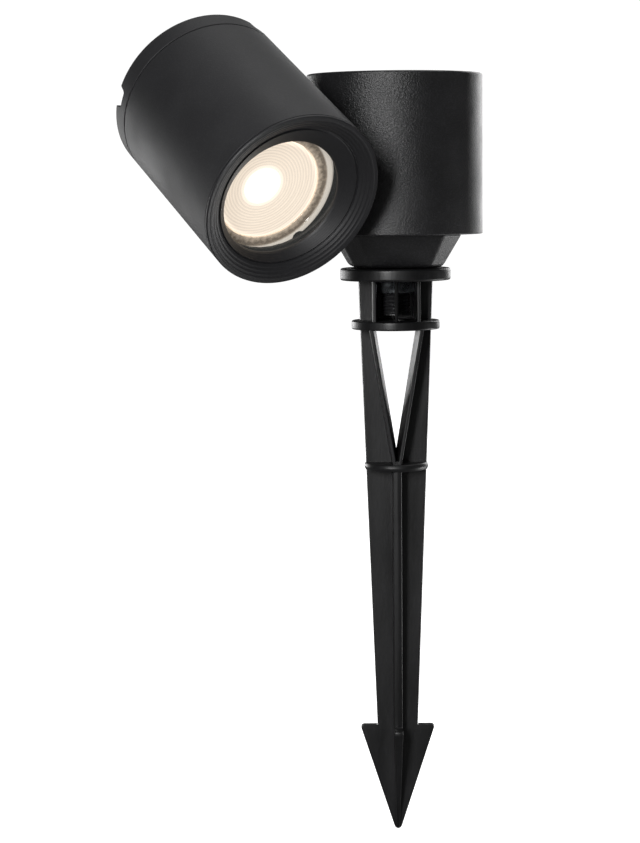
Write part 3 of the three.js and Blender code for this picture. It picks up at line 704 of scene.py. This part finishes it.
# A cup spun from its section, open below. A pad inside its wall carries the pivot, a seat is cut flat
# into its outside, and three bosses take the screws.
def junctionHousing():
    low, high, radius = span("junction_housing")
    plateTop = span("base_plate")[1]
    inside = radius - housing["wall"]
    ledge = plateTop + 1.8
    roof = high - housing["topThick"]
    ledgeRadius = housing["ledgeRadius"]
    corners = [(inside, low), (radius, low), (radius, high), (0, high), (0, roof), (inside, roof),
               (inside, ledge + 5), (ledgeRadius, ledge + 2.5), (ledgeRadius, ledge), (inside, ledge)]
    reach = [0.2, 0.5, housing["rim"], 0, 0, 1.2, 0.6, 0.4, 0.2, 0.2]
    shell = solid("junction_housing_shell", spun(softened(corners, reach, True, 6), 192, True))
    boss = disc(housing["bossRadius"], ledge + 0.1, ledge + 11, 48, 0.4)
    pilot = disc(pilotRadius, plateTop, plateTop + 9, 32)
    bosses = []
    pilots = []
    for angle in housing["screwAngles"]:
        bosses.append(solid("boss", shifted(boss, *polar(housing["screwRadius"] + 1.8, angle))))
        pilots.append(shifted(pilot, *polar(housing["screwRadius"], angle)))
    pad = disc(pivot["padRadius"], housing["padFace"], inside + 0.6, 72, 0.3)
    combined(shell, bosses + [solid("pad", pad, pivotPlace)], "UNION")
    cut(shell, pilots)
    seat = disc(pivot["seatRadius"], radius - housing["saddle"], radius + 3, 96)
    hole = disc(pivot["hole"], housing["padFace"] - 2, radius + 3, 64)
    return cut(shell, [seat, hole], pivotPlace)


finished(junctionHousing(), blackCoat, "housing", ["junction_housing"])


# A plate with rounded rims, a hole for the nipple and countersunk ways for three screws.
def basePlate():
    low, high, radius = span("base_plate")
    bore, sink, way = 7.8, 3.1, 1.9
    plate = solid("base_plate_moulding", hoop(bore, radius, low, high, 0.3))
    hole = spun([(0, low - 1), (sink, low - 1), (sink, low + 0.15), (way, low + 1.3), (way, high + 1),
                 (0, high + 1)], 48, False)
    middles = [polar(housing["screwRadius"], angle) for angle in housing["screwAngles"]]
    return cut(plate, [shifted(hole, *middle) for middle in middles])


finished(basePlate(), innerPlastic, "housing", ["base_plate"])


# A countersunk screw seen from below, with a cross recess and a threaded shank.
def baseScrew(number, angle):
    node = f"base_screw_{number}"
    low, high, _ = span(node)
    plateTop = span("base_plate")[1]
    x, y = polar(housing["screwRadius"], angle)
    headSide = [(0, low - 0.1), (2.7, low - 0.1), (1.5, low + 1.2), (1.5, plateTop), (0, plateTop)]
    screwHead = spun(softened(headSide, [0, 0.15, 0.2, 0, 0], False), 48, False)
    shank = threadedRod(1.25, 0.0, plateTop - 0.3, high, 0.8, 0.25)
    screw = joined(node + "_threaded", [shifted(screwHead, x, y), shifted(shank, x, y)])
    slots = [rectangle(3.0, 0.6, x, y, 0.1), rectangle(0.6, 3.0, x, y, 0.1)]
    return cut(screw, [prism(slot, low - 1, low + 0.7, 0.05) for slot in slots])


for number, angle in enumerate(housing["screwAngles"], 1):
    finished(baseScrew(number, angle), zincPlate, "housing", [f"base_screw_{number}"])
print("housing ready")


# ---- pivot between housing and head ----

# Rings round the tube: CAD node, ending of the name, rounding of the edges, material and slot.
pivotRings = [("pivot_collar", "_turned", 0.35, blackCoat, "powder_coat_black"),
              ("pivot_seal", "_ring", 0.3, rubber, "rubber"),
              ("pivot_washer", "_plain", 0.2, zincPlate, "zinc_steel")]
for node, ending, edge, material, slot in pivotRings:
    low, high, radius = span(node, pivotPlace)
    ring = solid(node + ending, hoop(pivot["hole"], radius, low, high, edge, 96), pivotPlace)
    finished(ring, material, "housing", [node])
for side in ("housing", "head"):
    node = "pivot_nut_" + side
    low, high, _ = span(node, pivotPlace)
    nut = solid(node + "_hex", hexNut(14, pivot["hole"], low, high), pivotPlace)
    finished(nut, zincPlate, "housing", [node])
low, high, radius = span("pivot_tube", pivotPlace)
pivotTube = solid("pivot_tube_threaded", threadedRod(radius, 3.2, low, high, 1.0, 0.4), pivotPlace)
finished(pivotTube, zincPlate, "housing", ["pivot_tube"])
print("pivot ready")


# ---- lamp head ----

head = {"wall": 2.7, "seatReach": 31.9, "padFace": 36.2, "pivotReach": 61.0, "lugMiddle": 25.9,
        "lugHole": 24.8, "gripWidth": 7.6, "gripDepth": 3.6, "gripAngles": (0, 120, 240), "capWall": 6.9,
        "capFloor": 2.6, "capSpigot": 26.0}


# A tube with a pad inside for the pivot and two lugs for the lamp's bracket, and a seat cut flat into
# its side.
def headBarrel():
    low, high, radius = span("head_barrel", headPlace)
    body = hoop(radius - head["wall"], radius, low, high, [0.2, 0.35, 0.2, 0.2], 192)
    reach, seatReach, padFace = head["pivotReach"], head["seatReach"], head["padFace"]
    pad = fromPivot(disc(pivot["padRadius"], seatReach + 0.6, padFace, 72, 0.3), reach)
    lugLow = span("holder_bracket", headPlace)[1] + 0.3
    lug = prism(rectangle(7, 4.8, corner=0.6), lugLow, lugLow + 6, 0.3)
    lugs = [shifted(lug, 0, side * head["lugMiddle"]) for side in (-1, 1)]
    barrel = joined("head_barrel_tube", [body, pad] + lugs, headPlace)
    seat = fromPivot(disc(pivot["seatRadius"], seatReach - 5, seatReach, 96), reach)
    hole = fromPivot(disc(pivot["hole"], seatReach - 2, padFace + 2, 64), reach)
    pilot = disc(pilotRadius, lugLow - 1, lugLow + 5, 32)
    pilots = [shifted(pilot, 0, side * head["lugHole"]) for side in (-1, 1)]
    return cut(barrel, [seat, hole] + pilots, headPlace)


finished(headBarrel(), charcoalCoat, "head", ["head_barrel"])


# The cap's cup, with a spigot that enters the barrel and three finger notches in its rim.
def rearCap():
    low, high, radius = span("rear_cap", headPlace)
    seam = high - 4.4
    spigot = head["capSpigot"]
    inner = radius - head["capWall"]
    corners = [(0, low), (radius, low), (radius, seam), (spigot, seam), (spigot, high), (inner, high),
               (inner, low + head["capFloor"]), (0, low + head["capFloor"])]
    section = softened(corners, [0, 0.9, 0.3, 0.2, 0.3, 0.3, 0.8, 0], False, 6)
    cap = solid("rear_cap_cup", spun(section, 192, False), headPlace)
    depth = head["gripDepth"]
    half = head["gripWidth"] / 2
    floor = half - 1.0
    outline = softened([(-half - 0.5, -1.2), (half + 0.5, -1.2), (half, 0), (floor, depth), (-floor, depth),
                        (-half, 0)], [0, 0, 0.3, 0.9, 0.9, 0.3])
    points, faces = prism(outline, radius - 4, radius + 4, 0.05)
    across, up, out = points.T
    notches = []
    for turn in np.radians(head["gripAngles"]):
        x = out * np.cos(turn) - across * np.sin(turn)
        y = out * np.sin(turn) + across * np.cos(turn)
        notches.append((np.stack([x, y, low + up], -1), faces))
    return cut(cap, notches, headPlace)


finished(rearCap(), charcoalCoat, "head", ["rear_cap"])


# The bezel's profile: a thin flange outside, then a shallow dish with turned steps, a groove, and a
# smooth cone down to the lip that holds the glass.
bezel = {"flange": 1.0, "stepFrom": 29.3, "stepTo": 24.9, "steps": 4, "stepDepth": 2.7, "groove": 24.5,
         "grooveDepth": 0.55, "lipBack": 6.8, "lipThick": 0.8, "opening": 20.3, "openingAt": (0.8, 2.0),
         "skirtInner": 24.9, "skirtOuter": 27.5, "stepRise": 0.13}


# Outside, skirt and flange first, then the dish: its depth grows with the 1.25th power of the way in,
# and a triangle wave on it makes the steps. Then the groove and the cone down to the lip.
def frontBezel():
    low, high, radius = span("front_bezel", headPlace)
    opening = bezel["opening"]
    lipBack = high - bezel["lipBack"]
    lipFront = lipBack + bezel["lipThick"]
    skirtInner, skirtOuter = bezel["skirtInner"], bezel["skirtOuter"]
    seam = high - bezel["flange"]
    corners = [(opening, lipBack), (skirtInner, lipBack), (skirtInner, low), (skirtOuter, low),
               (skirtOuter, seam - 0.1), (radius, seam), (radius, high - 0.35), (radius - 0.35, high)]
    outer = softened(corners, [0.1, 0.3, 0.3, 0.3, 0.1, 0.1, 0.2, 0.2], False, 3)
    t = np.linspace(0, 1, 60)
    dishTop = high - 0.15
    ripple = bezel["stepRise"] * np.abs(t * bezel["steps"] % 1 - 0.5) * 2
    stepRadius = bezel["stepFrom"] + (bezel["stepTo"] - bezel["stepFrom"]) * t
    dish = np.column_stack([stepRadius, dishTop - bezel["stepDepth"] * t ** 1.25 - ripple])
    groove = bezel["groove"]
    grooveTop = dishTop - bezel["stepDepth"]
    grooveFloor = grooveTop - bezel["grooveDepth"]
    inwards = [(groove + 0.25, grooveTop - 0.1), (groove + 0.1, grooveFloor), (groove - 0.25, grooveFloor),
               (groove - 0.35, grooveTop - 0.15), (opening + 0.35, lipFront + 0.25),
               (opening, lipFront - 0.2), (opening, lipBack)]
    lip = softened(inwards, [0, 0.05, 0.05, 0.15, 0.2, 0.2, 0], False, 3)
    points, faces = spun(np.concatenate([outer, dish, lip[:-1]]), 216)
    # Inside the groove the cone leans over towards the opening, which is off the head's axis.
    lean = np.clip((grooveTop - points[..., 2]) / (grooveTop - lipFront), 0, 1)
    lean = lean * (np.hypot(points[..., 0], points[..., 1]) < groove - 0.2)
    points[..., :2] += lean[..., None] * np.array(bezel["openingAt"])
    return solid("front_bezel_turned", (points, faces), headPlace)


finished(frontBezel(), turnedBlack, "bezel", ["front_bezel"], 40)

low, high, radius = span("front_glass", headPlace)
pane = solid("front_glass_pane", disc(radius, low, high, 144, 0.35), headPlace)
finished(pane, glass, "glass_pack", ["front_glass"])
print("head ready")


# ---- lamp ----

lampLook = {"rings": 10, "ringDeep": 0.12, "dome": 0.25, "notchAngles": (12, 132, 252), "notchRadius": 2.3,
            "ribs": 36, "ribDeep": 0.5, "rimInner": 17.8, "frontReach": 4.3}


# Lens: a shallow dome, its height falling with the radius squared and rippling in rings by a cosine.
def lampLens():
    low, high, radius = span("lamp_lens", lampPlace)
    r = np.linspace(0, radius, 90)
    wave = lampLook["ringDeep"] * (0.5 + 0.5 * np.cos(2 * pi * lampLook["rings"] * r / radius))
    top = high - 0.05 - wave - lampLook["dome"] * (r / radius) ** 2
    profile = [(0, low), (radius, low)] + list(zip(r[::-1], top[::-1]))
    return solid("lamp_lens_ringed", spun(profile, 144, False), lampPlace)


finished(lampLens(), litLens, "lamp", ["lamp_lens"])


# The clear rim: a ring with a raised, chamfered edge and three round notches for gripping it.
def lampRim():
    low, high, radius = span("lamp_rim", lampPlace)
    inner = lampLook["rimInner"]
    corners = [(inner, low), (radius, low), (radius, high - 0.8), (radius - 0.9, high), (radius - 2.6, high),
               (radius - 3.0, high - 0.5), (inner, high - 0.5)]
    rim = solid("lamp_rim_clear", spun(softened(corners, [0.1, 0.2, 0.4, 0.3, 0.3, 0.2, 0.2])), lampPlace)
    notch = disc(lampLook["notchRadius"], low - 1, high + 1, 40)
    notches = [shifted(notch, *polar(radius + 0.2, angle)) for angle in lampLook["notchAngles"]]
    return cut(rim, notches, lampPlace)


finished(lampRim(), clearRim, "lamp", ["lamp_rim"])


# The lamp's body: a smooth base that spreads into a finned cone. The radius dips wherever the cosine of
# the rib count times the angle is above zero, fading out at both ends.
def lampBody():
    low, high, radius = span("lamp_body", lampPlace)
    front = high + lampLook["frontReach"]
    corners = [(0, low), (13.4, low), (13.8, front - 34), (15.2, front - 26), (18, front - 18),
               (21.8, front - 10), (radius, high), (0, high)]
    profile = softened(corners, [0, 0.8, 1.5, 3, 3, 3, 0.6, 0], False, 8)

    def fins(angle, radii, height):
        where = np.clip((height - (front - 27)) / 4, 0, 1) * np.clip((high - 1.5 - height) / 1.5, 0, 1)
        groove = np.clip(np.cos(angle * lampLook["ribs"]) * 2, 0, 1)
        return np.where(radii > 8, radii - lampLook["ribDeep"] * groove * where, radii)

    return solid("lamp_body_finned", spun(profile, 288, False, fins), lampPlace)


finished(lampBody(), whitePlastic, "lamp", ["lamp_body"])
print("lamp ready")


# ---- CAD nodes that stay, each with its finish ----

keptNodes = {
    "base_gasket": rubber, "adapter_nut": zincPlate, "inlet_seal": rubber, "inlet_cap": innerPlastic,
    "terminal_block": whitePlastic, "cap_seal": rubber, "lamp_holder": ceramic, "holder_bracket": zincPlate,
    "holder_screw_1": zincPlate, "holder_screw_2": zincPlate, "bracket_screw_1": zincPlate,
    "bracket_screw_2": zincPlate, "lamp_pin_1": zincPlate, "lamp_pin_2": zincPlate,
    "glass_gasket": silicone, "terminal_screw_1": brass, "terminal_screw_2": brass, "terminal_screw_3": brass,
}
for node, material in keptNodes.items():
    mesh = frame["nodes"][node].data
    mesh.materials.clear()
    mesh.materials.append(material)


# ---- camera, floor and light ----

camera = {"x": -26.4, "y": -800.0, "z": 34.4, "pitch": 5.94, "roll": -0.5, "lens": 99.07}
lensData = bpy.data.cameras.new("camera")
lensData.sensor_width = 36.0
lensData.lens = camera["lens"]
lensData.clip_start = 0.01
cameraObject = bpy.data.objects.new("camera", lensData)
bpy.context.scene.collection.objects.link(cameraObject)
cameraObject.matrix_world = (Matrix.Translation(Vector((camera["x"], camera["y"], camera["z"])) * mm)
                             @ Matrix.Rotation(radians(90 - camera["pitch"]), 4, "X")
                             @ Matrix.Rotation(radians(camera["roll"]), 4, "Z"))
bpy.context.scene.camera = cameraObject

# Half the floor's side in metres, and how bright floor and sky look and how much light they throw.
studio = {"floorHalf": 6.0, "floorGap": 0.2, "floorSeen": 0.95, "floorWhite": "#f6f6f6",
          "floorGrey": "#8a8a8a", "worldSeen": 1.05, "worldLight": 0.1}
white = (1, 1, 1, 1)


# The floor looks white to the camera, but throws back less light than it seems to.
def studioFloor():
    half = studio["floorHalf"] / mm
    low = span("ground_spike")[0] - studio["floorGap"]
    grid = np.linspace(-half, half, 9)
    x, y = np.meshgrid(grid, grid, indexing="ij")
    points = np.stack([x, y, np.full_like(x, low)], -1).reshape(-1, 3) * mm
    mesh = bpy.data.meshes.new("floor")
    mesh.from_pydata(points.tolist(), [], gridFaces(len(grid), len(grid), False, False))
    floor = bpy.data.objects.new("floor", mesh)
    bpy.context.scene.collection.objects.link(floor)
    material, tree = newMaterial("matt white studio paint")
    spot = addNode(tree, "TexCoord").outputs["Object"]
    uneven = addNode(tree, "TexNoise", {"Scale": 3.0}, {"Vector": spot}).outputs["Fac"]
    rough = addNode(tree, "MapRange", {"To Min": 0.75, "To Max": 0.9}, {"Value": uneven}).outputs[0]
    paint = toLinear(studio["floorWhite"])
    seen = addNode(tree, "BsdfPrincipled", {"Base Color": paint, "Emission Color": white,
                                            "Emission Strength": studio["floorSeen"]},
                   {"Roughness": rough}).outputs[0]
    lit = addNode(tree, "BsdfDiffuse", {"Color": toLinear(studio["floorGrey"])}).outputs[0]
    ray = addNode(tree, "LightPath").outputs["Is Camera Ray"]
    both = addNode(tree, "MixShader", None, {0: ray, 1: lit, 2: seen}).outputs[0]
    addNode(tree, "OutputMaterial", None, {"Surface": both})
    mesh.materials.append(material)


studioFloor()

world = bpy.data.worlds.new("studio")
bpy.context.scene.world = world
world.use_nodes = True
world.node_tree.nodes.clear()
skyTree = world.node_tree
seenSky = addNode(skyTree, "Background", {"Color": white, "Strength": studio["worldSeen"]}).outputs[0]
litSky = addNode(skyTree, "Background", {"Color": white, "Strength": studio["worldLight"]}).outputs[0]
skyRay = addNode(skyTree, "LightPath").outputs["Is Camera Ray"]
sky = addNode(skyTree, "MixShader", None, {0: skyRay, 1: litSky, 2: seenSky}).outputs[0]
addNode(skyTree, "OutputWorld", None, {"Surface": sky})

# Soft boxes: name, place and size in metres, power in watts.
softBoxes = [
    ("key strip left of the camera", (-0.42, -1.25, 0.3), (0.2, 0.6), 14.0),
    ("top box", (0.3, 0.1, 1.3), (1.2, 1.0), 7.5),
    ("rim box right", (0.75, 1.35, 0.35), (0.6, 1.0), 9.0),
    ("rim box left", (-0.95, 1.2, 0.0), (0.9, 0.36), 7.0),
    ("light from the floor on the right", (0.26, 0.09, -0.18), (0.16, 0.16), 0.7),
]
target = Vector((-0.02, -0.02, -0.02))
for name, spot, size, power in softBoxes:
    light = bpy.data.lights.new(name, "AREA")
    light.shape = "RECTANGLE"
    light.size, light.size_y = size
    light.energy = power
    box = bpy.data.objects.new(name, light)
    bpy.context.scene.collection.objects.link(box)
    toTarget = target - Vector(spot)
    box.matrix_world = Matrix.Translation(spot) @ toTarget.to_track_quat("-Z", "Y").to_matrix().to_4x4()
    box.visible_camera = False
bpy.context.scene.view_settings.view_transform = "Standard"
print("studio ready")
